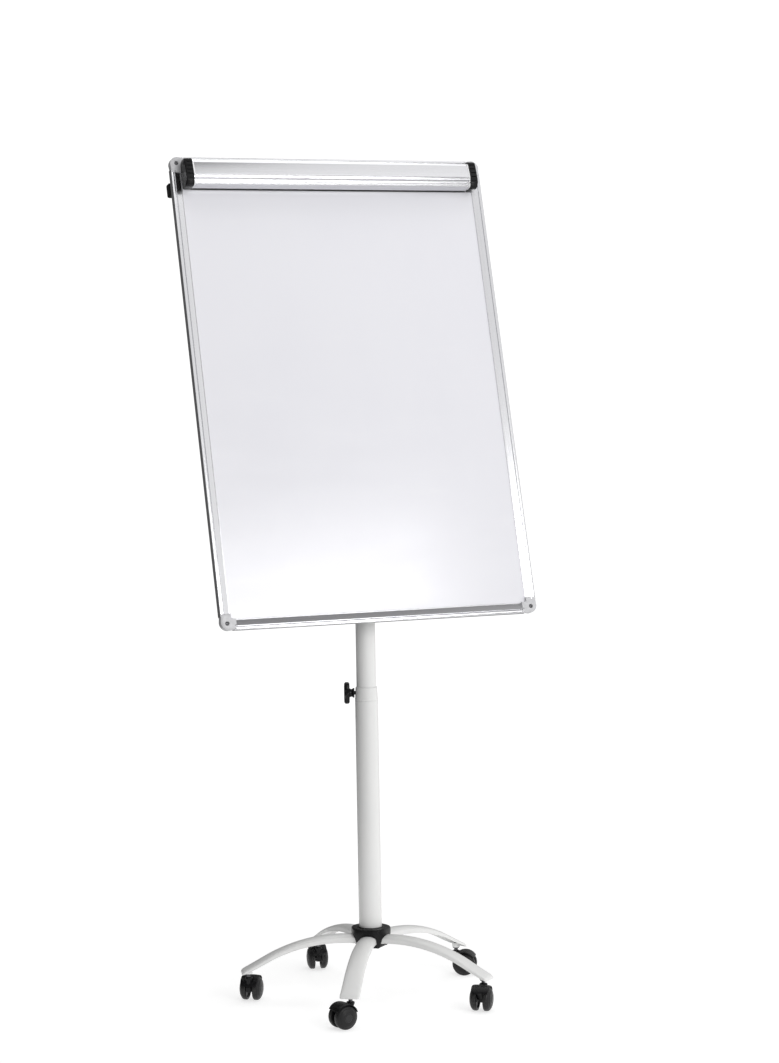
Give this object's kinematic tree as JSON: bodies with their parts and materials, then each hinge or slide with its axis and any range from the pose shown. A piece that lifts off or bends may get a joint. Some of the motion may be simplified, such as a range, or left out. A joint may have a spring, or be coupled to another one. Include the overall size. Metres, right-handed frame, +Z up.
{
  "type": "mobile flip chart easel",
  "caption": "Whiteboard with a hinged paper clamp, tilting on a telescopic column over a star base with twin-wheel castors.",
  "frame": {"origin": "on the floor, under the middle of the whole easel's box at rest; the column's axis stands 29.5 mm in front of it, at Y = -0.0295", "axes": "+Z up; the writing surface faces -Y and leans back 15 degrees towards +Y; +X to the right as seen from the front"},
  "size_m": [0.709, 0.5544, 1.7682],
  "materials": {
    "white_powder_coat": "satin powder coat",
    "black_plastic": "fine satin moulding",
    "castor_wheel_plastic": "satin moulding",
    "black_rubber": "matt",
    "grey_nylon": "matt",
    "zinc_plated_steel": "bright zinc plate",
    "anodised_aluminium": "satin silver anodised",
    "white_enamel": "smooth gloss enamel",
    "hardboard": "raw board",
    "zinc_coated_sheet": "matt zinc coated",
    "grey_corner_plastic": "satin moulding"
  },
  "bodies": {
    "base": {"hub": "black_plastic", "column_bolt": "zinc_plated_steel", "leg_1": "white_powder_coat", "leg_2": "white_powder_coat", "leg_3": "white_powder_coat", "leg_4": "white_powder_coat", "leg_5": "white_powder_coat", "castor_stem_1": "zinc_plated_steel", "castor_stem_2": "zinc_plated_steel", "castor_stem_3": "zinc_plated_steel", "castor_stem_4": "zinc_plated_steel", "castor_stem_5": "zinc_plated_steel", "lower_tube": "white_powder_coat", "height_collar": "white_powder_coat"},
    "castor_1": {"castor_body_1": "black_plastic"},
    "wheel_1_left": {"castor_wheel_1_left": "castor_wheel_plastic"},
    "wheel_1_right": {"castor_wheel_1_right": "castor_wheel_plastic"},
    "castor_2": {"castor_body_2": "black_plastic"},
    "wheel_2_left": {"castor_wheel_2_left": "castor_wheel_plastic"},
    "wheel_2_right": {"castor_wheel_2_right": "castor_wheel_plastic"},
    "castor_3": {"castor_body_3": "black_plastic"},
    "wheel_3_left": {"castor_wheel_3_left": "castor_wheel_plastic"},
    "wheel_3_right": {"castor_wheel_3_right": "castor_wheel_plastic"},
    "castor_4": {"castor_body_4": "black_plastic"},
    "wheel_4_left": {"castor_wheel_4_left": "castor_wheel_plastic"},
    "wheel_4_right": {"castor_wheel_4_right": "castor_wheel_plastic"},
    "castor_5": {"castor_body_5": "black_plastic"},
    "wheel_5_left": {"castor_wheel_5_left": "castor_wheel_plastic"},
    "wheel_5_right": {"castor_wheel_5_right": "castor_wheel_plastic"},
    "height_knob": {"height_knob": "black_plastic"},
    "bush": {"guide_bush": "grey_nylon"},
    "mast": {"upper_tube": "white_powder_coat", "tilt_head": "black_plastic", "tilt_bolt": "zinc_plated_steel"},
    "tilt_knob": {"tilt_knob": "black_plastic"},
    "board": {"board_bracket": "zinc_plated_steel", "board_core": "hardboard", "writing_sheet": "white_enamel", "back_sheet": "zinc_coated_sheet", "rail_left": "anodised_aluminium", "rail_right": "anodised_aluminium", "rail_bottom": "anodised_aluminium", "rail_top": "anodised_aluminium", "corner_bottom_left": "grey_corner_plastic", "corner_bottom_right": "grey_corner_plastic", "corner_top_left": "grey_corner_plastic", "corner_top_right": "grey_corner_plastic", "clamp_lug_left": "zinc_plated_steel", "clamp_lug_right": "zinc_plated_steel", "arm_guide": "anodised_aluminium"},
    "clamp": {"clamp_bar": "anodised_aluminium", "clamp_strip": "black_rubber", "clamp_cap_left": "black_plastic", "clamp_cap_right": "black_plastic"},
    "hook_left": {"pad_hook_left": "black_plastic"},
    "side_arm_left": {"arm_left": "white_powder_coat", "arm_end_left": "black_plastic"},
    "hook_right": {"pad_hook_right": "black_plastic"},
    "side_arm_right": {"arm_right": "white_powder_coat", "arm_end_right": "black_plastic"}
  },
  "joints": [
    {"name": "castor_1_swivel", "type": "hinge", "parent": "base", "child": "castor_1", "pos_m": [-0.14008, -0.24854, 0.055], "axis": [0, 0, 1], "continuous": true},
    {"name": "wheel_1_left_spin", "type": "hinge", "parent": "castor_1", "child": "wheel_1_left", "pos_m": [-0.15879, -0.25184, 0.025], "axis": [0.1736, -0.9848, 0], "continuous": true},
    {"name": "wheel_1_right_spin", "type": "hinge", "parent": "castor_1", "child": "wheel_1_right", "pos_m": [-0.15879, -0.25184, 0.025], "axis": [0.1736, -0.9848, 0], "continuous": true},
    {"name": "castor_2_swivel", "type": "hinge", "parent": "base", "child": "castor_2", "pos_m": [-0.2516, 0.03604, 0.055], "axis": [0, 0, 1], "continuous": true},
    {"name": "wheel_2_left_spin", "type": "hinge", "parent": "castor_2", "child": "wheel_2_left", "pos_m": [-0.24017, 0.05121, 0.025], "axis": [-0.7986, 0.6018, 0], "continuous": true},
    {"name": "wheel_2_right_spin", "type": "hinge", "parent": "castor_2", "child": "wheel_2_right", "pos_m": [-0.24017, 0.05121, 0.025], "axis": [-0.7986, 0.6018, 0], "continuous": true},
    {"name": "castor_3_swivel", "type": "hinge", "parent": "base", "child": "castor_3", "pos_m": [-0.01542, 0.23004, 0.055], "axis": [0, 0, 1], "continuous": true},
    {"name": "wheel_3_left_spin", "type": "hinge", "parent": "castor_3", "child": "wheel_3_left", "pos_m": [-0.0105, 0.2484, 0.025], "axis": [-0.9659, 0.2588, 0], "continuous": true},
    {"name": "wheel_3_right_spin", "type": "hinge", "parent": "castor_3", "child": "wheel_3_right", "pos_m": [-0.0105, 0.2484, 0.025], "axis": [-0.9659, 0.2588, 0], "continuous": true},
    {"name": "castor_4_swivel", "type": "hinge", "parent": "base", "child": "castor_4", "pos_m": [0.24208, 0.06537, 0.055], "axis": [0, 0, 1], "continuous": true},
    {"name": "wheel_4_left_spin", "type": "hinge", "parent": "castor_4", "child": "wheel_4_left", "pos_m": [0.25764, 0.05447, 0.025], "axis": [0.5736, 0.8192, 0], "continuous": true},
    {"name": "wheel_4_right_spin", "type": "hinge", "parent": "castor_4", "child": "wheel_4_right", "pos_m": [0.25764, 0.05447, 0.025], "axis": [0.5736, 0.8192, 0], "continuous": true},
    {"name": "castor_5_swivel", "type": "hinge", "parent": "base", "child": "castor_5", "pos_m": [0.16503, -0.23041, 0.055], "axis": [0, 0, 1], "continuous": true},
    {"name": "wheel_5_left_spin", "type": "hinge", "parent": "castor_5", "child": "wheel_5_left", "pos_m": [0.15307, -0.24518, 0.025], "axis": [0.7771, -0.6293, 0], "continuous": true},
    {"name": "wheel_5_right_spin", "type": "hinge", "parent": "castor_5", "child": "wheel_5_right", "pos_m": [0.15307, -0.24518, 0.025], "axis": [0.7771, -0.6293, 0], "continuous": true},
    {"name": "height_knob_turn", "type": "hinge", "parent": "base", "child": "height_knob", "pos_m": [0, -0.0295, 0.6436], "axis": [-0.9205, 0.3907, 0], "range_deg": [0, 360]},
    {"name": "height_slide", "type": "slide", "parent": "base", "child": "bush", "axis": [0, 0, 1], "range_m": [-0.15, 0.25]},
    {"name": "column_turn", "type": "hinge", "parent": "bush", "child": "mast", "pos_m": [0, -0.0295, 0.34], "axis": [0, 0, 1], "continuous": true},
    {"name": "board_tilt", "type": "hinge", "parent": "mast", "child": "board", "pos_m": [0, -0.0295, 0.9575], "axis": [1, 0, 0], "range_deg": [-45, 15]},
    {"name": "tilt_knob_turn", "type": "hinge", "parent": "mast", "child": "tilt_knob", "pos_m": [0.0276, -0.0295, 0.9575], "axis": [1, 0, 0], "range_deg": [0, 360]},
    {"name": "clamp_open", "type": "hinge", "parent": "board", "child": "clamp", "pos_m": [0, 0.11725, 1.75054], "axis": [-1, 0, 0], "range_deg": [0, 60]},
    {"name": "hook_left_slide", "type": "slide", "parent": "board", "child": "hook_left", "axis": [1, 0, 0], "range_m": [-0.06, 0.06]},
    {"name": "hook_right_slide", "type": "slide", "parent": "board", "child": "hook_right", "axis": [1, 0, 0], "range_m": [-0.06, 0.06]},
    {"name": "arm_left_slide", "type": "slide", "parent": "board", "child": "side_arm_left", "axis": [-1, 0, 0], "range_m": [0, 0.26]},
    {"name": "arm_right_slide", "type": "slide", "parent": "board", "child": "side_arm_right", "axis": [1, 0, 0], "range_m": [0, 0.26]}
  ]
}
